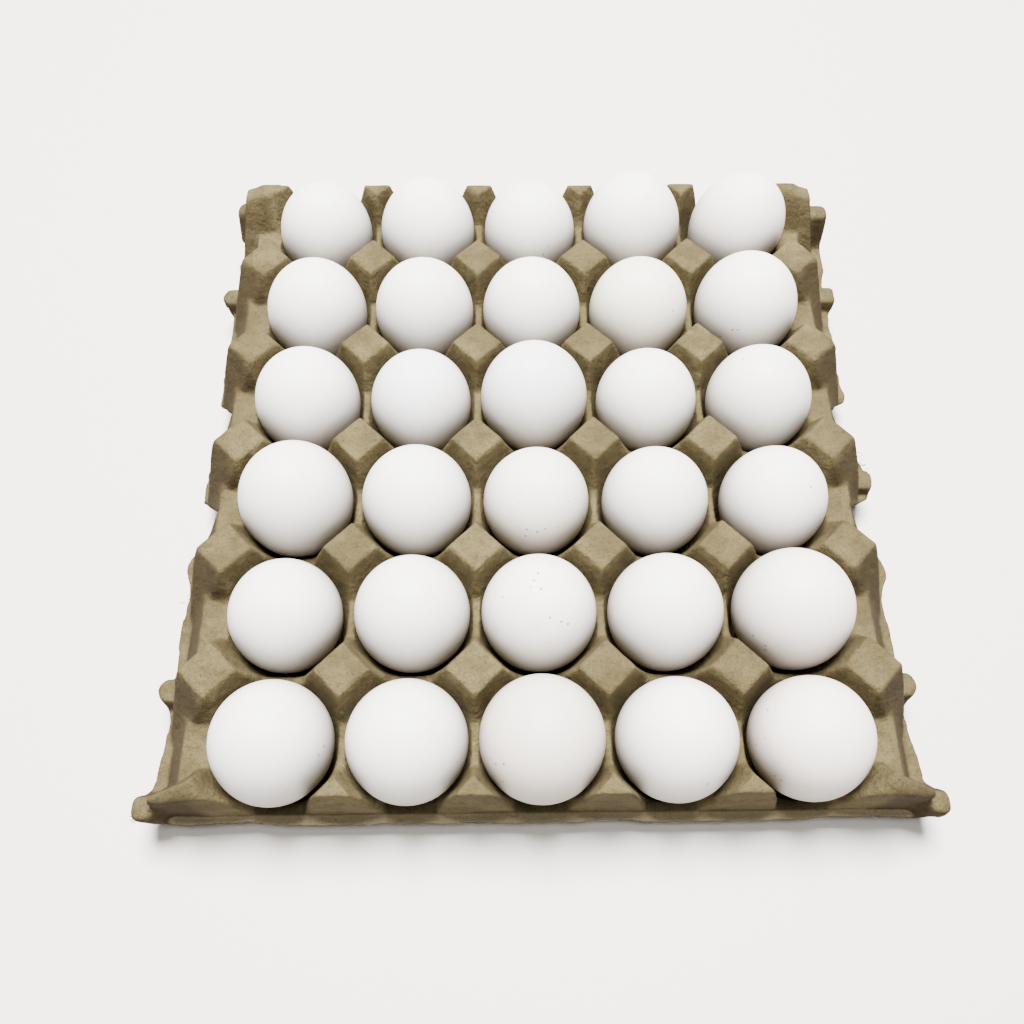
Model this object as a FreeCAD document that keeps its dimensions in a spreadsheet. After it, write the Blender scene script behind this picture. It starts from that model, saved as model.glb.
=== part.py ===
"""Thirty-cell moulded-pulp egg tray with thirty eggs.

Frame: millimetres, +Z up, +X across the five columns, +Y towards the back row.
Origin: middle of the tray's outline, on the surface that the tray stands on.

The tray is one moulded sheet.  It is made as the body of everything under the
sheet's upper face, less the body of everything under its lower face.  Both
bodies come from the same function, the second one shifted in by the sheet's
thickness.
"""
import FreeCAD, Part
import math
import os
import Sketcher

DIMENSIONS = {
    # Cell grid
    "cell_pitch": 48.0,
    "columns": 5,
    "rows": 6,
    # Heights above the surface that the tray stands on
    "post_top": 48.0,
    "saddle_top": 33.0,
    "rim_top": 15.0,
    # Sheet
    "floor_thickness": 2.2,
    "wall": 1.8,
    "ridge_thickness": 3.2,
    # Pits: distance from a pit's axis to its eight faces, measured at post_top
    "pit_apothem": 26.5,
    "pit_draft": 0.265,
    # Posts: distance from a post's axis to its tip, measured at post_top
    "post_half": 10.5,
    "post_draft": 0.4,
    # Side walls, from the outermost post axis or from the middle
    "side_post_reach": 10.0,
    "side_post_draft": 0.25,
    "shoulder_half": 129.6,
    "shoulder_draft": 0.48,
    # Front and back walls
    "end_wall_half": 140.6,
    "end_wall_draft": 0.06,
    # Gaps between the half posts of the front and back walls
    "gap_half": 16.9,
    "gap_draft": 0.25,
    # Rim outline
    "rim_half_x": 143.0,
    "rim_flare_x": 145.5,
    "rim_half_y": 145.5,
    "rim_flare_start": 105.0,
    "rim_flare_end": 132.0,
    "rim_ear_start": 137.0,
    # Corner ears
    "ear_half_x": 148.0,
    "ear_half_y": 144.0,
    "ear_inner_x": 136.0,
    "ear_inner_y": 133.5,
    "ear_top": 29.0,
    # Side lugs
    "lug_half_x": 147.4,
    "lug_inner_x": 137.0,
    "lug_half_y": 5.0,
    "lug_inner_y": -5.0,
    "lug_top": 21.0,
    "lug_offset_y": 96.0,
    # V notches in the side rims
    "notch_start_y": 12.0,
    "notch_tip_y": 25.0,
    "notch_end_y": 41.0,
    "notch_tip_x": 130.6,
    # Eggs, in three grades
    "small_radius": 21.3,
    "small_length": 55.5,
    "small_seat": 6.9,
    "medium_radius": 21.9,
    "medium_length": 57.0,
    "medium_seat": 7.3,
    "large_radius": 22.5,
    "large_length": 58.5,
    "large_seat": 9.0,
    "egg_lower_share": 0.535,
    # A leaning egg: its tilt in degrees, how far it rides up and how far it shifts
    "lean_tilt": 20.0,
    "lean_rise": 4.0,
    "lean_shift": 2.0,
}

GRADES = {"S": "small", "M": "medium", "L": "large"}

# Grade of each egg, back row first, left to right
EGG_ROWS = ("SMSLS", "MMMML", "MSLSM", "LMSSS", "SMMML", "MMLMM")

# Eggs that lean, by (row, column): the direction of lean, in degrees from +X
LEANING_EGGS = {(1, 5): 20.0}

# How far the bodies that cut run past the tray: under its foot, and from its middle
BELOW = "10"
BEYOND = "170"


def size(name):
    return "Sizes." + name


def make_sheet(doc):
    sheet = doc.addObject("Spreadsheet::Sheet", "Sizes")
    for line, (name, value) in enumerate(DIMENSIONS.items(), start=1):
        sheet.set("A%d" % line, name)
        sheet.set("B%d" % line, str(value))
        sheet.setAlias("B%d" % line, name)
    doc.recompute()
    return sheet


def bind(item, **expressions):
    for name, expression in expressions.items():
        item.setExpression(name, expression)


def plane(body, role):
    return next(item for item in body.Origin.OriginFeatures if item.Role == role)


def polygon(body, name, role, corners, offset="0"):
    """A closed sketch whose every corner is held by two driven distances."""
    sketch = body.newObject("Sketcher::SketchObject", name)
    sketch.AttachmentSupport = [(plane(body, role), "")]
    sketch.MapMode = "FlatFace"
    sketch.setExpression("AttachmentOffset.Base.z", offset)
    points = []
    for across, up in corners:
        points.append(FreeCAD.Vector(sketch.evalExpression(across), sketch.evalExpression(up), 0))
    for index, point in enumerate(points):
        following = points[(index + 1) % len(points)]
        sketch.addGeometry(Part.LineSegment(point, following))
    for index in range(len(points)):
        following = (index + 1) % len(points)
        sketch.addConstraint(Sketcher.Constraint("Coincident", index, 2, following, 1))
    for index, (across, up) in enumerate(corners):
        point = points[index]
        for kind, value, expression in (("DistanceX", point.x, across), ("DistanceY", point.y, up)):
            number = sketch.addConstraint(Sketcher.Constraint(kind, -1, 1, index, 1, value))
            sketch.setExpression("Constraints[%d]" % number, expression)
    return sketch


def wedge(body, name, centre, bottom, top, lower, upper, turn=0, kind="Additive"):
    """A block with sloping sides: half sizes lower and upper, between two heights."""
    item = body.newObject("PartDesign::%sWedge" % kind, name)
    upright = FreeCAD.Rotation(FreeCAD.Vector(1, 0, 0), 90)
    item.Placement.Rotation = FreeCAD.Rotation(FreeCAD.Vector(0, 0, 1), turn).multiply(upright)
    bind(
        item,
        Ymin="0",
        Ymax="%s - (%s)" % (top, bottom),
        Xmin="-(%s)" % lower[0],
        Xmax=lower[0],
        Zmin="-(%s)" % lower[1],
        Zmax=lower[1],
        X2min="-(%s)" % upper[0],
        X2max=upper[0],
        Z2min="-(%s)" % upper[1],
        Z2max=upper[1],
    )
    item.setExpression("Placement.Base.x", centre[0])
    item.setExpression("Placement.Base.y", centre[1])
    item.setExpression("Placement.Base.z", bottom)
    return item


def pattern(body, feature, name, across, along):
    """Repeat a feature over a grid: each direction is (spacing, count)."""
    grid = body.newObject("PartDesign::LinearPattern", name)
    grid.Originals = [feature]
    grid.Direction = (plane(body, "X_Axis"), [""])
    grid.Direction2 = (plane(body, "Y_Axis"), [""])
    bind(
        grid,
        Length="(%s) * (%s - 1)" % across,
        Occurrences=across[1],
        Length2="(%s) * (%s - 1)" % along,
        Occurrences2=along[1],
    )
    body.Tip = grid
    return grid


def pocket(body, sketch, name, length):
    """Cut along the sketch's normal."""
    cut = body.newObject("PartDesign::Pocket", name)
    cut.Profile = sketch
    cut.Reversed = True
    cut.setExpression("Length", length)
    body.Tip = cut
    return cut


def outline(lower_face):
    """Corners of the rim in plan, or of a square that runs past it all round."""
    if lower_face:
        quarter = [(BEYOND, BEYOND)]
    else:
        quarter = [
            (size("rim_half_x"), size("rim_flare_start")),
            (size("rim_flare_x"), size("rim_flare_end")),
            (size("ear_half_x"), size("rim_ear_start")),
            (size("ear_half_x"), size("ear_half_y")),
            (size("ear_inner_x"), size("rim_half_y")),
        ]
    corners = list(quarter)
    corners += [("-" + across, along) for across, along in reversed(quarter)]
    corners += [("-" + across, "-" + along) for across, along in quarter]
    corners += [(across, "-" + along) for across, along in reversed(quarter)]
    return corners


def pit_grid(doc, name, shift, bottom):
    """Thirty eight-sided tapering pits, as one solid.

    Two grids of four-sided pits, one of them turned by an eighth of a turn,
    have the eight-sided pits in common.
    """
    pitch = size("cell_pitch")
    first = "%s / 2 - %s * %s / 2"
    corner = (first % (pitch, pitch, size("columns")), first % (pitch, pitch, size("rows")))
    top = size("post_top")
    low = "%s + %s - %s * (%s - (%s))" % (size("pit_apothem"), shift, size("pit_draft"), top, bottom)
    high = "%s + %s" % (size("pit_apothem"), shift)
    grids = []
    for label, turn in (("flats", 0), ("corners", 45)):
        body = doc.addObject("PartDesign::Body", name + "_" + label)
        pit = wedge(body, "pit_" + label, corner, bottom, top, (low, low), (high, high), turn)
        pattern(body, pit, "pits_" + label, (pitch, size("columns")), (pitch, size("rows")))
        grids.append(body)
    pits = doc.addObject("Part::MultiCommon", name)
    pits.Shapes = grids
    return pits


def make_form(doc, name, shift, lower_face):
    """Everything under the sheet's upper face, or under its lower face.

    shift is how far each face lies inside the upper one: nothing, or the wall.
    """
    body = doc.addObject("PartDesign::Body", name + "_block")
    pitch = size("cell_pitch")
    columns = size("columns")
    rows = size("rows")
    edge_x = "(%s * %s / 2)" % (pitch, columns)
    edge_y = "(%s * %s / 2)" % (pitch, rows)
    first_pit = ("(%s / 2 - %s)" % (pitch, edge_x), "(%s / 2 - %s)" % (pitch, edge_y))

    post_top = size("post_top")
    rim = "(%s - %s)" % (size("rim_top"), shift)
    top = "(%s - %s)" % (post_top, shift)
    saddle = "(%s - %s)" % (size("saddle_top"), size("ridge_thickness") if lower_face else "0")
    bottom = "-" + BELOW if lower_face else "0"

    def face(distance, draft, height, start=post_top):
        """How far out a sloping face is at a height, from how far it is at its start."""
        return "(%s - %s + %s * (%s - %s))" % (distance, shift, draft, start, height)

    def pit_half(height):
        return "(%s + %s - %s * (%s - %s))" % (
            size("pit_apothem"), shift, size("pit_draft"), post_top, height)

    slab = body.newObject("PartDesign::Pad", name + "_slab")
    slab.Profile = polygon(body, name + "_outline", "XY_Plane", outline(lower_face), bottom)
    slab.setExpression("Length", "%s - (%s)" % (rim, bottom))

    # Posts: square in plan here, and made diamonds by the pits
    low = face(size("post_half"), size("post_draft"), rim)
    high = face(size("post_half"), size("post_draft"), top)
    corner_post = ("-" + edge_x, "-" + edge_y)
    post = wedge(body, name + "_post", corner_post, rim, top, (low, low), (high, high))
    pattern(body, post, name + "_posts", (pitch, columns + " + 1"), (pitch, rows + " + 1"))

    # Outward faces of the side posts: two slanting ones, and a blunt tip between them
    outside = ("(-%s - %s / 2)" % (edge_x, pitch), first_pit[1])
    low = pit_half(rim)
    high = pit_half(post_top)
    slant = wedge(
        body, name + "_slant", outside, rim, post_top, (low, low), (high, high), 45, "Subtractive")
    pattern(body, slant, name + "_slants", ("%s * (%s + 1)" % (pitch, columns), "2"), (pitch, rows))
    reach = "(%s + %s)" % (edge_x, size("side_post_reach"))
    tip = (face(reach, size("side_post_draft"), rim), face(reach, size("side_post_draft"), post_top))
    trim(body, name + "_tip", "XZ_Plane", tip, (rim, post_top))

    # Walls between the posts, and the faces of the end posts
    end = (
        face(size("end_wall_half"), size("end_wall_draft"), rim),
        face(size("end_wall_half"), size("end_wall_draft"), post_top),
    )
    low = (face(size("shoulder_half"), size("shoulder_draft"), rim, size("saddle_top")), end[0])
    high = (
        face(size("shoulder_half"), size("shoulder_draft"), saddle, size("saddle_top")),
        face(size("end_wall_half"), size("end_wall_draft"), saddle),
    )
    wedge(body, name + "_walls", ("0", "0"), rim, saddle, low, high)
    trim(body, name + "_end", "YZ_Plane", end, (rim, post_top))

    # Gaps between the end posts, down to the rim
    gap_high = "(%s + %s)" % (size("gap_half"), shift)
    gap_low = "(%s - %s * (%s - %s))" % (gap_high, size("gap_draft"), post_top, rim)
    corners = []
    for sign, half, height in (
        ("-", gap_low, rim), ("+", gap_low, rim), ("+", gap_high, post_top), ("-", gap_high, post_top),
    ):
        corners.append(("%s %s %s" % (first_pit[0], sign, half), height))
    sketch = polygon(body, name + "_gap", "XZ_Plane", corners, "-(%s)" % first_pit[1])
    gap = pocket(body, sketch, name + "_gap_cut", pitch)
    pattern(body, gap, name + "_gap_cuts", (pitch, columns), ("%s * %s" % (pitch, rows), "2"))

    # Hollow bumps on the rim: a lug beside three posts a side, and an ear at each corner
    bump(body, name + "_lug", shift, rim, "lug", (size("lug_offset_y"), "3"))
    bump(body, name + "_ear", shift, rim, "ear", ("2 * %s" % middle("ear", "y"), "2"))

    # V notches in the side rims
    if not lower_face:
        notches(body, name)

    pits = pit_grid(doc, name + "_pits", shift, bottom if lower_face else size("floor_thickness"))
    form = doc.addObject("Part::Cut", name)
    form.Base = body
    form.Tool = pits
    return form


def middle(kind, axis):
    return "((%s_inner_%s + %s_half_%s) / 2)" % (size(kind), axis, size(kind), axis)


def trim(body, name, role, distances, heights):
    """Cut a pair of opposite sloping faces: half sizes at two heights."""
    (low, high), (bottom, top) = distances, heights
    for side, sign in (("plus", ""), ("minus", "-")):
        corners = [
            (sign + low, bottom),
            (sign + BEYOND, bottom),
            (sign + BEYOND, top),
            (sign + high, top),
        ]
        sketch = polygon(body, "%s_%s" % (name, side), role, corners, "-" + BEYOND)
        pocket(body, sketch, "%s_%s_cut" % (name, side), "2 * " + BEYOND)


def bump(body, name, shift, rim, kind, along):
    """A bump of the sheet on the rim, in each of its places."""
    half = []
    for axis in "xy":
        half.append("((%s_half_%s - %s_inner_%s) / 2 - %s)" % (size(kind), axis, size(kind), axis, shift))
    top = "(%s_top - %s)" % (size(kind), shift)
    start = ("-" + middle(kind, "x"), "-(%s) * (%s - 1) / 2" % along)
    item = wedge(body, name, start, rim, top, half, half)
    pattern(body, item, name + "s", ("2 * " + middle(kind, "x"), "2"), along)


def notches(body, name):
    """Four V notches that run up the side walls from the rim."""
    for side, sign_x in (("right", ""), ("left", "-")):
        for end, sign_y in (("back", ""), ("front", "-")):
            corners = [
                (sign_x + size("notch_tip_x"), sign_y + size("notch_tip_y")),
                (sign_x + size("rim_half_x"), sign_y + size("notch_start_y")),
                (sign_x + BEYOND, sign_y + size("notch_start_y")),
                (sign_x + BEYOND, sign_y + size("notch_end_y")),
                (sign_x + size("rim_half_x"), sign_y + size("notch_end_y")),
            ]
            label = "%s_%s_%s_notch" % (name, side, end)
            sketch = polygon(body, label, "XY_Plane", corners, "0")
            pocket(body, sketch, label + "_cut", size("post_top"))


def make_tray(doc):
    tray = doc.addObject("Part::Cut", "tray")
    tray.Base = make_form(doc, "upper", "0", False)
    tray.Tool = make_form(doc, "lower", size("wall"), True)
    return tray


def make_egg(doc, row, column):
    """An egg, blunt end up: two half ellipsoids that meet where it is widest."""
    label = "egg_r%d_c%d" % (row, column)
    grade = GRADES[EGG_ROWS[row - 1][column - 1]]
    radius = size(grade + "_radius")
    length = size(grade + "_length")
    share = size("egg_lower_share")
    halves = []
    for name, angles, height in (
        ("blunt", (0, 90), "%s * (1 - %s)" % (length, share)),
        ("pointed", (-90, 0), "%s * %s" % (length, share)),
    ):
        half = doc.addObject("Part::Ellipsoid", label + "_" + name)
        half.Angle1, half.Angle2 = angles
        bind(half, Radius1=height, Radius2=radius, Radius3=radius)
        halves.append(half)
    egg = doc.addObject("Part::MultiFuse", label)
    egg.Shapes = halves
    egg.Refine = True
    place_egg(egg, grade, row, column)
    return egg


def place_egg(egg, grade, row, column):
    """Put an egg in its pit: upright, or leaning against the pit's wall."""
    pitch = size("cell_pitch")
    place = {
        "x": "%s * (%d - (%s + 1) / 2)" % (pitch, column, size("columns")),
        "y": "%s * ((%s + 1) / 2 - %d)" % (pitch, size("rows"), row),
        "z": "%s_seat + %s_length * %s" % (size(grade), size(grade), size("egg_lower_share")),
    }
    heading = LEANING_EGGS.get((row, column))
    if heading is not None:
        across = math.cos(math.radians(heading))
        along = math.sin(math.radians(heading))
        place["x"] += " + %s * %.4f" % (size("lean_shift"), across)
        place["y"] += " + %s * %.4f" % (size("lean_shift"), along)
        place["z"] += " + " + size("lean_rise")
        axis = FreeCAD.Vector(-along, across, 0)
        egg.Placement.Rotation = FreeCAD.Rotation(axis, DIMENSIONS["lean_tilt"])
    for axis_name, expression in place.items():
        egg.setExpression("Placement.Base." + axis_name, expression)


def check(doc, parts):
    for item in doc.Objects:
        for fault in ("Invalid", "Error"):
            if fault in item.State:
                raise RuntimeError("%s is %s" % (item.Label, fault))
    for part in parts:
        shape = part.Shape
        if shape.isNull() or not shape.isValid() or len(shape.Solids) != 1:
            raise RuntimeError("%s isn't one sound solid" % part.Label)


def export(parts):
    os.makedirs("parts", exist_ok=True)
    for part in parts:
        part.Shape.exportStep("parts/%s.step" % part.Label)


doc = FreeCAD.newDocument("egg_tray")
make_sheet(doc)
parts = [make_tray(doc)]
for row in range(1, DIMENSIONS["rows"] + 1):
    for column in range(1, DIMENSIONS["columns"] + 1):
        parts.append(make_egg(doc, row, column))
doc.recompute()
check(doc, parts)
export(parts)
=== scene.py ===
"""Looks of a moulded-pulp egg tray and its thirty eggs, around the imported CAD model."""
import math

import bpy
import numpy as np
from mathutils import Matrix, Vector


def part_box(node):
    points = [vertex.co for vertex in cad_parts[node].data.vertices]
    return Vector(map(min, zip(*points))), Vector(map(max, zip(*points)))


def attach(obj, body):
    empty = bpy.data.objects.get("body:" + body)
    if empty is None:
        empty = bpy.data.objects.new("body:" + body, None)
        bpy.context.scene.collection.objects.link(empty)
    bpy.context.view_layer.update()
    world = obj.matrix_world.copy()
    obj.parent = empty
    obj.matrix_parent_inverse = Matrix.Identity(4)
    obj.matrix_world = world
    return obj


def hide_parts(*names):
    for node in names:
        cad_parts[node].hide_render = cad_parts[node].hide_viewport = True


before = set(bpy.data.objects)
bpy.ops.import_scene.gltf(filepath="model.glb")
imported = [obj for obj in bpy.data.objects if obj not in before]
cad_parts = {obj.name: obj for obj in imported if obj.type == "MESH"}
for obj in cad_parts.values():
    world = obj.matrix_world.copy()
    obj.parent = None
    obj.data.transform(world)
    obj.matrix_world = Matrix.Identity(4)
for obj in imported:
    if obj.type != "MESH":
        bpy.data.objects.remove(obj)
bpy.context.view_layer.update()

# ---------------------------------------------------------------- sizes, from the frame
MM = 0.001
COLUMNS = 5
ROWS = 6


def egg_name(row, column):
    return "egg_r%d_c%d" % (row, column)


def centre(node):
    low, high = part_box(node)
    return (Vector(low) + Vector(high)) / 2


TRAY_LOW, TRAY_HIGH = (Vector(corner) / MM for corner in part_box("tray"))
PITCH = (centre(egg_name(2, 3)).x - centre(egg_name(2, 2)).x) / MM
POST_TOP = TRAY_HIGH.z
EDGE_X = PITCH * COLUMNS / 2
EDGE_Y = PITCH * ROWS / 2

# ---------------------------------------------------------------- the tray's shape, in mm
# A draft is how far a face moves out for each mm that it goes down.
SADDLE_TOP = 33.0
RIM_TOP = 15.0
FLOOR_TOP = 2.2
SHEET = 2.0
SKIN_INSET = 0.3
PIT_APOTHEM = 26.5
PIT_DRAFT = 0.265
POST_HALF = 10.5
POST_DRAFT = 0.4
OUTER_DRAFT_BACK = 0.4
OUTER_DRAFT_FRONT = 0.6
SIDE_TIP = EDGE_X + 12.5
SIDE_TIP_DRAFT = 0.25
SHOULDER = 129.6
SHOULDER_DRAFT = 0.54
END_WALL = 140.6
END_WALL_DRAFT = 0.02
GAP_HALF = 16.9
GAP_DRAFT = 0.25
RIM_X = 142.4
RIM_Y = 145.2
SIDE_LIMIT = 147.7
NOTCH_START = 12.0
NOTCH_TIP = 24.0
NOTCH_END = 38.0
NOTCH_INWARD = 12.5
NOTCH_UPWARD = 12.0

# middle y, reach and amount of each place where the left or right rim spreads or draws in
LEFT_SWELLINGS = ((-43, 6, 2.7), (-73, 14, 1.0), (130, 5, -4.2))
RIGHT_SWELLINGS = (
    (120, 9, 2.4), (69, 4, 1.5), (42, 5, 2.8), (-4, 11, 4.9), (-46, 8, 5.0), (-76, 14, 1.6))
TORN_FROM = -4.0
TORN_TO = 14.0

# the apex of a corner post, the inner edge of its ridge, and the slope of its falling tops
APEX_X = 121.0
APEX_Y = 134.8
RIDGE_BACK = 134.0
CROWN_DRAFT = 1.2

# middle x and y, half width, half depth and top height of each corner's ear
EARS = (
    (-142.6, -140.4, 4.8, 4.4, 28.0),
    (143.2, -140.6, 4.4, 4.2, 27.5),
    (-138.4, 139.6, 3.6, 4.0, 34.0),
    (142.6, 138.4, 4.8, 4.2, 33.0),
)
EAR_ROUNDING = 3.6
# the same measures of the four lugs along the sides, and of the torn one on the right
LUG_Y = 96.0
LUGS = (142.6, LUG_Y, 4.9, 4.6, 21.0)
TORN_LUG = (142.8, -5.0, 4.8, 4.6, 20.0)

# the grid step that the sheet is meshed at, and its triangles after thinning
STEP = 0.8
TRAY_FACES = 199000


def flat(distance, draft):
    """Distance to a sloping face, from the distance measured level."""
    return distance / math.sqrt(1 + draft * draft)


def soft_max(a, b, radius):
    overlap = np.maximum(radius - np.abs(a - b), 0.0)
    return np.maximum(a, b) + overlap * overlap / (4 * radius)


def soft_min(a, b, radius):
    return -soft_max(-a, -b, radius)


def smooth_step(value, low, high):
    t = np.clip((value - low) / (high - low), 0.0, 1.0)
    return t * t * (3 - 2 * t)


def swelling(along, middle, reach, amount):
    return amount * np.exp(-((along - middle) / reach) ** 2)


class Waves:
    """Smooth random relief: seeded values on a coarse lattice, joined by cubic curves."""

    points = 512
    shift = 200.37

    def __init__(self, seed, cell):
        self.cell = cell
        self.values = np.random.default_rng(seed).uniform(-1, 1, (self.points, self.points))

    def weights(self, places):
        at = places / self.cell + self.shift
        base = np.floor(at).astype(int)
        return base % self.points, smooth_step(at - base, 0.0, 1.0)

    def grid(self, xs, ys):
        i, s = self.weights(xs)
        j, t = self.weights(ys)
        i1 = (i + 1) % self.points
        j1 = (j + 1) % self.points
        v = self.values
        low = v[np.ix_(i, j)] * (1 - t) + v[np.ix_(i, j1)] * t
        high = v[np.ix_(i1, j)] * (1 - t) + v[np.ix_(i1, j1)] * t
        return low * (1 - s[:, None]) + high * s[:, None]


class Tray:
    """The tray's sheet as a signed distance, one level at a time."""

    def __init__(self, xs, ys):
        self.x, self.y = np.meshgrid(xs, ys, indexing="ij")
        self.ax = np.abs(self.x)
        self.ay = np.abs(self.y)
        column = np.clip(np.round(self.x / PITCH), -(COLUMNS // 2), COLUMNS // 2)
        row = np.clip(np.round(self.y / PITCH - 0.5), -ROWS // 2, ROWS // 2 - 1) + 0.5
        self.u = np.abs(self.x - column * PITCH)
        self.v = np.abs(self.y - row * PITCH)
        post_x = (np.clip(np.floor(self.x / PITCH), -3, 2) + 0.5) * PITCH
        post_y = np.clip(np.round(self.y / PITCH), -3, 3) * PITCH
        self.dx = np.abs(self.x - post_x)
        self.dy = np.abs(self.y - post_y)
        outer = np.abs(self.ax - (EDGE_X + PITCH / 2))
        self.outside = (outer + self.v) / math.sqrt(2)
        facing = smooth_step(self.y - row * PITCH, -4.0, 4.0)
        self.outer_draft = OUTER_DRAFT_BACK + (OUTER_DRAFT_FRONT - OUTER_DRAFT_BACK) * facing
        self.beside = self.ax > EDGE_X
        self.swell = [Waves(seed, 26.0).grid(xs, ys) for seed in (1, 2)]
        self.dents = [Waves(seed, 6.0).grid(xs, ys) for seed in (3, 4)]
        self.edge_wave = Waves(5, 17.0).grid(xs, ys)
        self.edge_fray = Waves(6, 3.1).grid(xs, ys)
        self.notched = self.notch()
        self.outline = self.rim_outline()
        self.crown = self.corner_crown()

    def notch(self):
        """0 along the side rims, 1 at the tip of each V notch."""
        near = (self.ay - NOTCH_START) / (NOTCH_TIP - NOTCH_START)
        far = (NOTCH_END - self.ay) / (NOTCH_END - NOTCH_TIP)
        return np.clip(np.minimum(near, far), 0.0, 1.0) * self.beside

    def rim_outline(self):
        """Negative inside the rim's outline."""
        left = self.x < 0
        right = ~left
        at_ears = np.where(left & (self.y > 0), 0.6, 3.6)
        flare = 2.0 * smooth_step(self.ay, 105, 132) + at_ears * smooth_step(self.ay, 131, 137)
        flare += swelling(self.ay, LUG_Y, 5.5, 4.6)
        flare += right * 2.0 * smooth_step(self.y, 40, 55)
        for half, swellings in ((left, LEFT_SWELLINGS), (right, RIGHT_SWELLINGS)):
            for middle, reach, amount in swellings:
                flare += half * swelling(self.y, middle, reach, amount)
        side = self.ax - (RIM_X + flare - NOTCH_INWARD * self.notched)
        tear = smooth_step(self.y, TORN_FROM, TORN_FROM + 3.0)
        tear = right * tear * (1 - smooth_step(self.y, TORN_TO - 4.0, TORN_TO))
        side = side + tear * (0.7 + 1.9 * self.edge_fray)
        end = self.ay - RIM_Y + 0.45 * (1 + self.edge_wave)
        wave = 0.5 * self.edge_wave + 0.35 * self.edge_fray
        shape = soft_max(side, end, 5.0) + wave
        return np.maximum(shape, np.maximum(self.ay - RIM_Y, self.ax - SIDE_LIMIT))

    def corner_crown(self):
        """Height of the top faces: level, but falling away round the corner posts."""
        crease = APEX_X - 1.0 - 0.6 * (self.ay - APEX_Y)
        front = 0.5 * np.maximum(self.ax - APEX_X, 0.0) + 0.8 * np.maximum(self.ay - APEX_Y, 0.0)
        front += 1.3 * np.maximum(crease - self.ax, 0.0)
        front *= (self.y < 0) & (self.ax > 100) & (self.ay > 126)
        back = (self.y > 0) * 0.25 * np.maximum(self.ax - 126.0, 0.0)
        return POST_TOP - front - back

    def bump(self, z, middle_x, middle_y, half_x, half_y, top, mirrored=True, rounding=2.2):
        """A box-like bump of the sheet, at all four mirrored places or at one."""
        x, y = (self.ax, self.ay) if mirrored else (self.x, self.y)
        ends = np.abs(x - middle_x) - (half_x + 0.1 * (top - z))
        sides = np.abs(y - middle_y) - (half_y + 0.25 * (top - z))
        return soft_max(soft_max(ends, sides, rounding), z - top, 0.8 * rounding)

    def corner_ridge(self, z):
        """The wide, falling ridge that joins each corner post to its ear."""
        fall = POST_TOP - z
        turned = np.where(self.y > 0, 0.05, 0.43)
        lean = np.where(self.y > 0, 0.75, 0.3)
        inner = RIDGE_BACK + turned * (self.ax - APEX_X) - lean * fall - self.ay
        inner = inner / np.sqrt(1 + lean ** 2)
        end = self.ay - (END_WALL + END_WALL_DRAFT * fall)
        reach = np.where(self.y > 0, 134.0 + 0.2 * fall, 139.0)
        side = np.maximum(self.ax - reach, APEX_X - 3.0 - self.ax)
        top = flat(z - self.crown, CROWN_DRAFT)
        return soft_max(soft_max(inner, top, 1.5), np.maximum(side, end), 1.2)

    def end_wall(self, z):
        return flat(self.ay - (END_WALL + END_WALL_DRAFT * (POST_TOP - z)), END_WALL_DRAFT)

    def posts(self, z):
        """The posts between the cups, with the wide sloping ones along the sides."""
        fall = POST_TOP - z
        sides = flat(np.maximum(self.dx, self.dy) - (POST_HALF + POST_DRAFT * fall), POST_DRAFT)
        outer = PIT_APOTHEM - self.outer_draft * fall - self.outside
        outer = np.where(self.beside, outer / np.sqrt(1 + self.outer_draft ** 2), -50.0)
        tip = flat(self.ax - (SIDE_TIP + SIDE_TIP_DRAFT * fall), SIDE_TIP_DRAFT)
        post = soft_max(soft_max(sides, outer, 0.8), tip, 2.0)
        fallen = self.crown < POST_TOP
        level = np.where(fallen, flat(z - self.crown, CROWN_DRAFT), z - POST_TOP)
        return soft_max(soft_max(post, self.end_wall(z), 0.8), level, 0.9)

    def saddles(self, z):
        """The lower body between the posts."""
        shoulder = flat(self.ax - (SHOULDER + SHOULDER_DRAFT * (SADDLE_TOP - z)), SHOULDER_DRAFT)
        return soft_max(soft_max(shoulder, self.end_wall(z), 1.5), z - SADDLE_TOP, 1.5)

    def gaps(self, z):
        """The openings in front of and behind the end rows' eggs."""
        gap = flat(GAP_HALF - GAP_DRAFT * (POST_TOP - z) - self.u, GAP_DRAFT)
        return np.minimum(gap, self.ay - (EDGE_Y - PITCH / 2))

    def flange(self, z):
        """The low rim all round."""
        wavy = 0.5 * self.swell[1] + 0.8 * self.edge_wave * smooth_step(self.ay, 138.0, 142.0)
        return z - (RIM_TOP + NOTCH_UPWARD * self.notched + wavy)

    def pits(self, z):
        """The eight-sided cups, one in each cell."""
        across = soft_max(np.maximum(self.u, self.v), (self.u + self.v) / math.sqrt(2), 4.0)
        pit = flat(across - (PIT_APOTHEM - PIT_DRAFT * (POST_TOP - z)), PIT_DRAFT)
        return soft_max(pit, FLOOR_TOP - z, 5.0)

    def relief(self, z):
        """Swells and dents of the pulp, fading out at the feet."""
        turn = z / 9.0
        swell = self.swell[0] * math.cos(turn) + self.swell[1] * math.sin(turn)
        dents = self.dents[0] * math.cos(3 * turn) + self.dents[1] * math.sin(3 * turn)
        return smooth_step(z, 2.5, 8.0) * (0.3 * swell + 0.12 * dents)

    def upper(self, z):
        """Signed distance to the sheet's upper face: negative under it."""
        form = soft_min(self.saddles(z), self.posts(z), 1.8)
        form = soft_max(form, self.gaps(z), 1.5)
        form = soft_min(form, self.corner_ridge(z), 1.5)
        form = soft_min(form, self.flange(z), 1.8)
        for ear in EARS:
            form = soft_min(form, self.bump(z, *ear, False, EAR_ROUNDING), 4.5)
        form = soft_min(form, self.bump(z, *LUGS), 1.6)
        form = soft_min(form, self.bump(z, *TORN_LUG, False), 1.6)
        form = soft_max(form, -self.pits(z), 0.9)
        return form + self.relief(z) + SKIN_INSET

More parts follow.
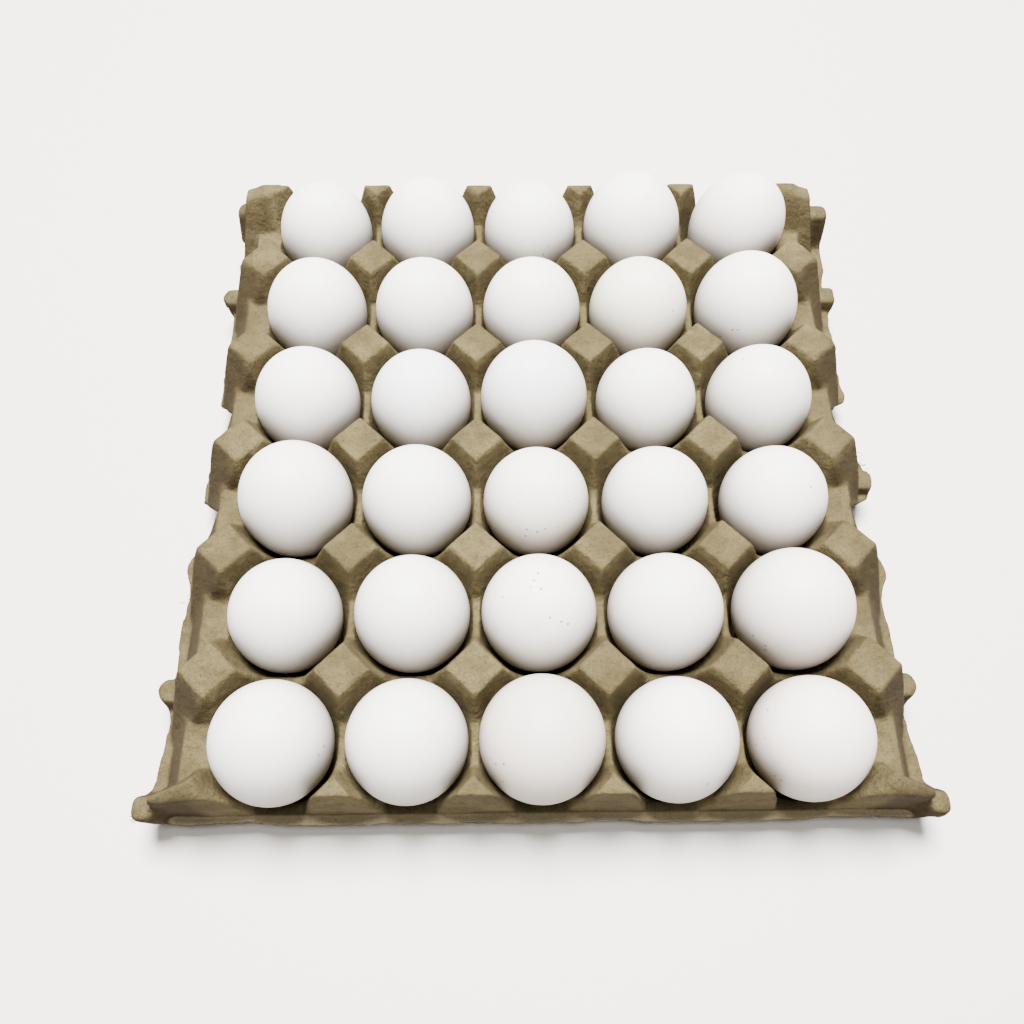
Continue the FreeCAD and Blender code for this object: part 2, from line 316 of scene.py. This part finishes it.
    def sheet(self, z):
        """Signed distance to the sheet: negative inside it."""
        upper = np.maximum(self.upper(z), z - POST_TOP)
        shell = np.maximum(upper, -upper - SHEET - 0.2 * (z < 6.0))
        return np.maximum(soft_max(shell, self.outline, 1.0), -z)


def surface_net(field, origin, step):
    """Quads over the zero level of a field on a regular grid."""
    inside = field < 0
    shape = np.array(field.shape) - 1
    spans = [(slice(0, n), slice(1, n + 1)) for n in shape]
    corners = [(i, j, k) for i in (0, 1) for j in (0, 1) for k in (0, 1)]
    count = np.zeros(shape, np.uint8)
    for i, j, k in corners:
        count += inside[spans[0][i], spans[1][j], spans[2][k]]
    active = (count > 0) & (count < 8)
    cells = np.argwhere(active)
    number = np.full(shape, -1, np.int64)
    number[active] = np.arange(len(cells))

    values = {}
    for corner in corners:
        at = cells + corner
        values[corner] = field[at[:, 0], at[:, 1], at[:, 2]].astype(np.float64)
    total = np.zeros((len(cells), 3))
    hits = np.zeros(len(cells))
    for first in corners:
        for axis in range(3):
            if first[axis]:
                continue
            second = tuple(1 if n == axis else c for n, c in enumerate(first))
            a, b = values[first], values[second]
            crossed = (a < 0) != (b < 0)
            share = np.where(crossed, a / np.where(crossed, a - b, 1.0), 0.0)
            place = np.tile(np.array(first, float), (len(cells), 1))
            place[:, axis] = share
            total[crossed] += place[crossed]
            hits += crossed
    points = (cells + total / hits[:, None]) * step + origin

    quads = []
    for axis in range(3):
        one, two = [n for n in range(3) if n != axis]
        low = [slice(None)] * 3
        low[axis] = slice(0, -1)
        high = [slice(None)] * 3
        high[axis] = slice(1, None)
        change = inside[tuple(low)] != inside[tuple(high)]
        edges = np.argwhere(change)
        keep = (edges[:, one] > 0) & (edges[:, two] > 0)
        keep &= (edges[:, one] < shape[one]) & (edges[:, two] < shape[two])
        edges = edges[keep]
        ring = []
        for a, b in ((1, 1), (0, 1), (0, 0), (1, 0)):
            cell = edges.copy()
            cell[:, one] -= a
            cell[:, two] -= b
            ring.append(number[cell[:, 0], cell[:, 1], cell[:, 2]])
        ring = np.stack(ring, 1)
        flip = inside[edges[:, 0], edges[:, 1], edges[:, 2]]
        if axis == 1:
            flip = ~flip
        ring[~flip] = ring[~flip][:, ::-1]
        quads.append(ring)
    return points, np.concatenate(quads)


def added(name, data):
    """A new object in the scene that shows the data."""
    item = bpy.data.objects.new(name, data)
    bpy.context.scene.collection.objects.link(item)
    return item


def mesh_object(name, points, quads):
    mesh = bpy.data.meshes.new(name)
    mesh.vertices.add(len(points))
    mesh.vertices.foreach_set("co", points.astype(np.float32).ravel())
    mesh.loops.add(quads.size)
    mesh.loops.foreach_set("vertex_index", quads.astype(np.int32).ravel())
    mesh.polygons.add(len(quads))
    mesh.polygons.foreach_set("loop_start", np.arange(0, quads.size, 4, dtype=np.int32))
    mesh.update(calc_edges=True)
    mesh.validate()
    return added(name, mesh)


def applied(item):
    """The item's mesh with its modifiers worked in."""
    graph = bpy.context.evaluated_depsgraph_get()
    mesh = bpy.data.meshes.new_from_object(item.evaluated_get(graph))
    item.modifiers.clear()
    item.data = mesh
    return item


def make_tray():
    margin = 2.5
    below = 1.9
    xs = np.arange(TRAY_LOW.x - margin, TRAY_HIGH.x + margin + STEP, STEP)
    ys = np.arange(TRAY_LOW.y - margin, TRAY_HIGH.y + margin + STEP, STEP)
    zs = np.arange(-below, POST_TOP + margin, STEP)
    shape = Tray(xs, ys)
    field = np.empty((len(xs), len(ys), len(zs)), np.float32)
    for level, z in enumerate(zs):
        field[:, :, level] = shape.sheet(z)
    points, quads = surface_net(field, np.array([xs[0], ys[0], zs[0]]), STEP)
    item = mesh_object("pulp_tray", points * MM, quads)
    thin = item.modifiers.new("thin", "DECIMATE")
    thin.ratio = TRAY_FACES / (2 * len(quads))
    applied(item)
    item.data.polygons.foreach_set("use_smooth", np.ones(len(item.data.polygons), bool))
    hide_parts("tray")
    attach(item, "tray")
    return item


# the middle of each tuft of loose fibres, how far it spreads, and how many there are
TUFTS = (
    ((144.6, 4.0, 15.0), 3.0, 14),
    ((143.0, 10.0, 15.5), 1.6, 6),
    ((146.2, -3.0, 17.0), 2.0, 6),
    ((-142.5, -57.0, 15.5), 2.0, 5),
    ((-145.8, -143.6, 24.0), 1.0, 4),
    ((-141.0, 131.0, 15.5), 1.5, 4),
    ((40.0, -144.0, 15.0), 5.0, 6),
    ((-70.0, -144.0, 15.0), 5.0, 6),
)
FIBRE_RADIUS = 0.11
FIBRE_STEPS = 6


def make_fibres():
    """Loose fibres at the torn and worn edges, as thin bent three-sided strands."""
    rng = np.random.default_rng(41)
    vertices = []
    faces = []
    limit = np.array([SIDE_LIMIT, RIM_Y, POST_TOP])
    for middle, spread, count in TUFTS:
        for _ in range(count):
            place = np.array(middle) + rng.uniform(-1, 1, 3) * (spread, spread, 0.8)
            heading = rng.normal(0, 1, 3) * (1.0, 1.0, 0.4)
            length = rng.uniform(0.35, 0.8)
            for step in range(FIBRE_STEPS):
                heading += rng.normal(0, 0.5, 3)
                heading /= np.linalg.norm(heading)
                across = np.cross(heading, (0.3, 0.2, 1.0))
                across /= np.linalg.norm(across)
                beside = np.cross(heading, across)
                for corner in range(3):
                    angle = corner * 2 * math.pi / 3
                    offset = across * math.cos(angle) + beside * math.sin(angle)
                    vertices.append(np.clip(place + offset * FIBRE_RADIUS, -limit, limit))
                place = place + heading * length
                if step:
                    last = len(vertices) - 6
                    for corner in range(3):
                        following = (corner + 1) % 3
                        faces.append((last + corner, last + following,
                                      last + 3 + following, last + 3 + corner))
    mesh = bpy.data.meshes.new("loose_fibres")
    mesh.from_pydata([tuple(v * MM) for v in vertices], [], faces)
    item = added("loose_fibres", mesh)
    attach(item, "tray")
    return item


# ---------------------------------------------------------------- node materials
class Nodes:
    """A short way to write a material's node tree."""

    def __init__(self, name):
        self.material = bpy.data.materials.new(name)
        self.material.use_nodes = True
        self.tree = self.material.node_tree
        self.tree.nodes.clear()
        self.output = self.tree.nodes.new("ShaderNodeOutputMaterial")

    def node(self, kind, settings=None, **inputs):
        item = self.tree.nodes.new("ShaderNode" + kind)
        for name, value in (settings or {}).items():
            setattr(item, name, value)
        for name, value in inputs.items():
            socket = self.socket(item, name)
            if isinstance(value, bpy.types.NodeSocket):
                self.tree.links.new(value, socket)
            else:
                socket.default_value = value
        return item

    @staticmethod
    def socket(item, name):
        if name.startswith("at") and name[2:].isdigit():
            return item.inputs[int(name[2:])]
        return item.inputs[name.replace("_", " ")]

    def noise(self, places, scale, detail, roughness=0.5, distortion=0.0):
        item = self.node(
            "TexNoise", Vector=places, Scale=scale, Detail=detail, Roughness=roughness,
            Distortion=distortion)
        return item.outputs["Fac"]

    def cells(self, places, scale):
        """The distance to the nearest of many scattered points."""
        return self.node("TexVoronoi", Vector=places, Scale=scale).outputs["Distance"]

    def remap(self, value, low, high, to_low=0.0, to_high=1.0):
        item = self.node(
            "MapRange", {"interpolation_type": "SMOOTHSTEP"},
            Value=value, From_Min=low, From_Max=high, To_Min=to_low, To_Max=to_high)
        return item.outputs["Result"]

    def part(self, vector, axis):
        return self.node("SeparateXYZ", Vector=vector).outputs[axis]

    def facing_up(self):
        """1 where a face looks up, 0 where it stands, -1 where it looks down."""
        return self.part(self.node("NewGeometry").outputs["Normal"], "Z")

    def math(self, operation, first, second=0.0):
        item = self.node("Math", {"operation": operation}, at0=first, at1=second)
        return item.outputs[0]

    def mix(self, share, first, second):
        item = self.node("Mix", {"data_type": "RGBA"}, at0=share, at6=first, at7=second)
        return item.outputs[2]

    def bump(self, height, distance, strength, under=None):
        item = self.node("Bump", Height=height, Distance=distance, Strength=strength)
        if under is not None:
            self.tree.links.new(under, item.inputs["Normal"])
        return item.outputs["Normal"]

    def finish(self, shader):
        self.tree.links.new(shader.outputs[0], self.output.inputs["Surface"])
        return self.material


def rgb(red, green, blue):
    """A display colour, 0 to 255, as the linear colour that a shader takes."""
    def linear(value):
        value /= 255
        return value / 12.92 if value <= 0.04045 else ((value + 0.055) / 1.055) ** 2.4
    return (linear(red), linear(green), linear(blue), 1.0)


PULP_DARK = rgb(76, 68, 45)
PULP_LIGHT = rgb(95, 86, 60)
PULP_CLOUD = rgb(74, 65, 44)
PULP_FIBRE = rgb(120, 110, 81)
PULP_PORE = rgb(50, 42, 27)
PULP_HOLLOW = rgb(60, 52, 34)
PULP_FLECK = rgb(42, 34, 22)
# painted shade, for steep pulp faces
PULP_PAINTED_SHADE = rgb(50, 41, 26)
# painted light, for the upward faces of the front flange
PULP_FLANGE_PAINTED_LIGHT = rgb(148, 136, 108)
SHELL_WHITE = (236, 233, 230)
SHELL_STAIN = rgb(226, 214, 190)
SHELL_SPECK = rgb(120, 102, 80)
# painted shade, for the eggs' downward faces
SHELL_PAINTED_SHADE = rgb(132, 124, 115)


def matted_fibres(n, places):
    """1 along two layers of thin wandering fibres."""
    fibres = []
    for number, size in enumerate((260.0, 430.0)):
        turned = n.node("Mapping", Vector=places, Rotation=(0.7 * number, 1.1, 0.4))
        wander = n.noise(turned.outputs["Vector"], size, 3.0, 0.6, 2.2)
        off = n.math("ABSOLUTE", n.math("SUBTRACT", wander, 0.5))
        fibres.append(n.remap(off, 0.0, 0.018, 1.0, 0.0))
    return n.math("MAXIMUM", fibres[0], fibres[1])


def pulp_material():
    """Recycled pulp: matted fibres, specks and a mottled olive-grey colour, with painted shade
    on steep faces and painted light on the front flange.
    """
    n = Nodes("pulp")
    places = n.node("TexCoord").outputs["Object"]
    mottle = n.noise(places, 70.0, 5.0, 0.65)
    cloud = n.noise(places, 14.0, 2.0)
    grain = n.noise(places, 1100.0, 3.0, 0.7)
    lumps = n.noise(places, 330.0, 4.0, 0.65)
    matted = matted_fibres(n, places)
    colour = n.mix(n.remap(mottle, 0.36, 0.64), PULP_DARK, PULP_LIGHT)
    colour = n.mix(n.remap(cloud, 0.35, 0.7, 0.0, 0.4), colour, PULP_CLOUD)
    colour = n.mix(n.math("MULTIPLY", matted, 0.2), colour, PULP_FIBRE)
    colour = n.mix(n.remap(grain, 0.52, 0.7, 0.0, 0.5), colour, PULP_PORE)
    colour = n.mix(n.remap(lumps, 0.53, 0.7, 0.0, 0.4), colour, PULP_HOLLOW)
    fleck = n.remap(n.cells(places, 330.0), 0.06, 0.12, 1.0, 0.0)
    rare = n.math("MULTIPLY", n.remap(n.noise(places, 70.0, 1.0), 0.5, 0.6), 0.75)
    colour = n.mix(n.math("MULTIPLY", fleck, rare), colour, PULP_FLECK)

    up = n.facing_up()
    # Painted shade: steep faces are darkened, faintly inside the tray and strongly on its outer
    # side walls.
    steep_painted_shade = n.remap(up, 0.4, 0.95, 1.0, 0.0)
    outer = n.remap(n.math("ABSOLUTE", n.part(places, "X")), 0.118, 0.126, 0.15, 0.9)
    colour = n.mix(n.math("MULTIPLY", steep_painted_shade, outer), colour, PULP_PAINTED_SHADE)
    # Painted light: the upward faces of the low front flange are lightened.
    toward_front = n.math("MULTIPLY", n.part(places, "Y"), -1.0)
    flange = n.remap(toward_front, 0.141, 0.1422, 0.0, 0.75)
    flange = n.math("MULTIPLY", flange, n.remap(up, 0.3, 0.8))
    low = n.remap(n.part(places, "Z"), 0.017, 0.02, 1.0, 0.0)
    colour = n.mix(n.math("MULTIPLY", flange, low), colour, PULP_FLANGE_PAINTED_LIGHT)

    normal = n.bump(n.noise(places, 120.0, 3.0, 0.6), 0.0024, 0.6)
    normal = n.bump(lumps, 0.0018, 0.8, normal)
    normal = n.bump(matted, 0.0003, 0.6, normal)
    normal = n.bump(grain, 0.0005, 0.8, normal)
    shader = n.node(
        "BsdfPrincipled", Base_Color=colour, Roughness=n.remap(mottle, 0.3, 0.7, 0.9, 1.0),
        Normal=normal)
    shader.inputs["Specular IOR Level"].default_value = 0.08
    return n.finish(shader)


def egg_material(name, shade, stain, seed):
    """A matte white shell: fine pores, faint cloudy tint, a few pale or dark marks, and painted
    shade on its lower faces.
    """
    n = Nodes(name)
    origin = n.node("TexCoord").outputs["Object"]
    moved = n.node(
        "VectorMath", {"operation": "ADD"}, at0=origin, at1=(seed, seed * 0.7, 0.0))
    places = moved.outputs[0]
    cloud = n.noise(places, 30.0, 3.0)
    patch = n.noise(places, 75.0, 2.0)
    colour = n.mix(n.remap(cloud, 0.35, 0.7), rgb(*shade), rgb(*(c - 4 for c in shade)))
    colour = n.mix(n.remap(patch, 0.6, 0.75, 0.0, 0.5 * stain), colour, SHELL_STAIN)
    pore = n.remap(n.cells(places, 1100.0), 0.0, 0.35, 1.0, 0.0)
    speck = n.remap(n.cells(places, 240.0), 0.09, 0.15, 1.0, 0.0)
    few = 0.74 - 0.2 * stain
    rare = n.remap(n.noise(places, 45.0, 1.0), few, few + 0.04, 0.0, 0.9)
    colour = n.mix(n.math("MULTIPLY", speck, rare), colour, SHELL_SPECK)
    # Painted shade: the shell darkens gradually from faces looking up to faces looking down.
    colour = n.mix(n.remap(n.facing_up(), -0.25, 0.8), SHELL_PAINTED_SHADE, colour)
    normal = n.bump(n.noise(places, 160.0, 3.0), 0.0004, 0.25)
    normal = n.bump(pore, 0.00008, 0.35, normal)
    shader = n.node(
        "BsdfPrincipled", Base_Color=colour, Roughness=n.remap(patch, 0.3, 0.7, 0.5, 0.62),
        Normal=normal)
    shader.inputs["Specular IOR Level"].default_value = 0.35
    shader.inputs["Subsurface Weight"].default_value = 0.05
    shader.inputs["Subsurface Radius"].default_value = (0.004, 0.003, 0.0025)
    shader.inputs["Subsurface Scale"].default_value = 0.5
    return n.finish(shader)


# ---------------------------------------------------------------- eggs
EGG_RINGS = 40
EGG_SIDES = 72
# where an egg is widest, as a share of its length from the lower end
WIDEST = 0.535
# the shell's size against its CAD solid, and its mean radius, which leaves room to be uneven
SHRINK = 0.998
MEAN_REACH = 0.9965


def long_axis(points):
    """The upward long axis of an egg, from its CAD points."""
    spread = points - points.mean(axis=0)
    values, vectors = np.linalg.eigh(spread.T @ spread)
    axis = vectors[:, np.argmax(values)]
    return axis if axis[2] > 0 else -axis


def make_egg(row, column):
    name = egg_name(row, column)
    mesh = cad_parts[name].data
    points = np.empty(3 * len(mesh.vertices))
    mesh.vertices.foreach_get("co", points)
    points = points.reshape(-1, 3) / MM
    axis = long_axis(points)
    along = points @ axis
    low, high = along.min(), along.max()
    length = high - low
    middle = (points[np.argmin(along)] + points[np.argmax(along)]) / 2
    off = points - middle - np.outer((points - middle) @ axis, axis)
    radius = np.linalg.norm(off, axis=1).max() * SHRINK
    base = middle - axis * length * 0.5 * SHRINK

    ring_angles = np.linspace(0, math.pi, EGG_RINGS + 1)[1:-1]
    side_angles = np.linspace(0, 2 * math.pi, EGG_SIDES, endpoint=False)
    lower = WIDEST * length * SHRINK
    upper = length * SHRINK - lower
    rng = np.random.default_rng(100 * row + column)
    phases = rng.uniform(0, 2 * math.pi, 2)
    across = np.cross(axis, (0.0, 1.0, 0.0))
    across /= np.linalg.norm(across)
    beside = np.cross(axis, across)

    def place(polar, turn):
        reach = radius * math.sin(polar)
        if math.cos(polar) < 0:
            reach *= 1 - 0.05 * math.sin(2 * polar) ** 2
        uneven = 0.0022 * math.sin(2 * turn + phases[0])
        uneven += 0.0015 * math.sin(3 * turn + phases[1] + 2 * polar)
        reach *= MEAN_REACH + uneven
        height = lower + (upper if math.cos(polar) > 0 else lower) * math.cos(polar)
        return base + axis * height + reach * (across * math.cos(turn) + beside * math.sin(turn))

    vertices = [base]
    for polar in reversed(ring_angles):
        vertices += [place(polar, turn) for turn in side_angles]
    vertices.append(base + axis * length * SHRINK)
    faces = []
    for side in range(EGG_SIDES):
        following = (side + 1) % EGG_SIDES
        faces.append((0, 1 + following, 1 + side))
        for ring in range(EGG_RINGS - 2):
            first = 1 + ring * EGG_SIDES
            second = first + EGG_SIDES
            faces.append((first + side, first + following, second + following, second + side))
        last = 1 + (EGG_RINGS - 2) * EGG_SIDES
        faces.append((last + side, last + following, len(vertices) - 1))
    shell = bpy.data.meshes.new("shell_r%d_c%d" % (row, column))
    shell.from_pydata([tuple(v * MM) for v in vertices], [], faces)
    shell.polygons.foreach_set("use_smooth", np.ones(len(shell.polygons), bool))
    shell.update()
    item = added(shell.name, shell)
    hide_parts(name)
    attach(item, name)
    return item


# ---------------------------------------------------------------- floor, light, camera
LAMP_COLOUR = (1.0, 0.98, 0.96)
SKY_COLOUR = (1.0, 0.985, 0.97, 1.0)


def make_floor():
    mesh = bpy.data.meshes.new("floor")
    reach = 3.0
    corners = [(-reach, -reach, 0), (reach, -reach, 0), (reach, reach, 0), (-reach, reach, 0)]
    mesh.from_pydata(corners, [], [(0, 1, 2, 3)])
    floor = added("floor", mesh)
    n = Nodes("floor")
    places = n.node("TexCoord").outputs["Object"]
    tone = n.mix(n.noise(places, 3.0, 2.0), rgb(219, 214, 209), rgb(223, 218, 213))
    shader = n.node("BsdfPrincipled", Base_Color=tone)
    shader.inputs["Roughness"].default_value = 0.6
    mesh.materials.append(n.finish(shader))


def add_lamp(name, place, size, power):
    """A round lamp aimed at the middle of the tray."""
    lamp = bpy.data.lights.new(name, "AREA")
    lamp.shape = "DISK"
    lamp.size = size
    lamp.energy = power
    lamp.color = LAMP_COLOUR
    item = added(name, lamp)
    item.location = place
    item.rotation_euler = (-Vector(place)).to_track_quat("-Z", "Y").to_euler()


def light_scene():
    world = bpy.data.worlds.new("studio")
    bpy.context.scene.world = world
    world.use_nodes = True
    backdrop = world.node_tree.nodes["Background"]
    backdrop.inputs["Color"].default_value = SKY_COLOUR
    backdrop.inputs["Strength"].default_value = 0.1
    add_lamp("overhead", (-0.05, 0.46, 1.78), 0.8, 262.0)
    add_lamp("front", (0.1, -0.3, 1.8), 0.4, 16.0)


# the camera's tilt and field of view in degrees, and its place in mm, up from the post tops
CAMERA_TILT = (26.42, -0.40, -0.59)
CAMERA_PLACE = (-13.67, -189.82, 313.67)
CAMERA_FIELD = 59.27


def add_camera():
    camera = bpy.data.cameras.new("camera")
    camera.angle = math.radians(CAMERA_FIELD)
    item = added("camera", camera)
    item.location = (Vector(CAMERA_PLACE) + Vector((0, 0, POST_TOP))) * MM
    item.rotation_euler = [math.radians(angle) for angle in CAMERA_TILT]
    bpy.context.scene.camera = item


# how much redder, greener and bluer some eggs are, and how stained they are
TINTED_EGGS = {
    (6, 3): (-14, -20, -27, 1.0),
    (6, 5): (0, -7, -11, 0.6),
    (2, 4): (-2, -4, -16, 0.9),
    (4, 3): (0, -2, -9, 0.8),
    (5, 3): (0, 0, 0, 1.0),
    (5, 5): (2, -3, -6, 0.4),
    (1, 5): (2, -3, -3, 0.4),
    # painted light: the slightly bluer tint of these two middle eggs stands in for cooler light
    # on the middle of the tray
    (3, 2): (-3, -1, 3, 0.4),
    (3, 3): (-3, -1, 3, 0.4),
}


# ---------------------------------------------------------------- the scene
add_camera()
light_scene()
make_floor()
tray = make_tray()
pulp = pulp_material()
tray.data.materials.append(pulp)
make_fibres().data.materials.append(pulp)
for row in range(1, ROWS + 1):
    for column in range(1, COLUMNS + 1):
        egg = make_egg(row, column)
        number = (row * 7 + column * 3) % 5
        tint = TINTED_EGGS.get((row, column), (0, 0, 0, 0.4))
        shade = [base + number + extra for base, extra in zip(SHELL_WHITE, tint)]
        seed = 0.31 * row + 0.17 * column
        egg.data.materials.append(
            egg_material("eggshell_r%d_c%d" % (row, column), shade, tint[3], seed))
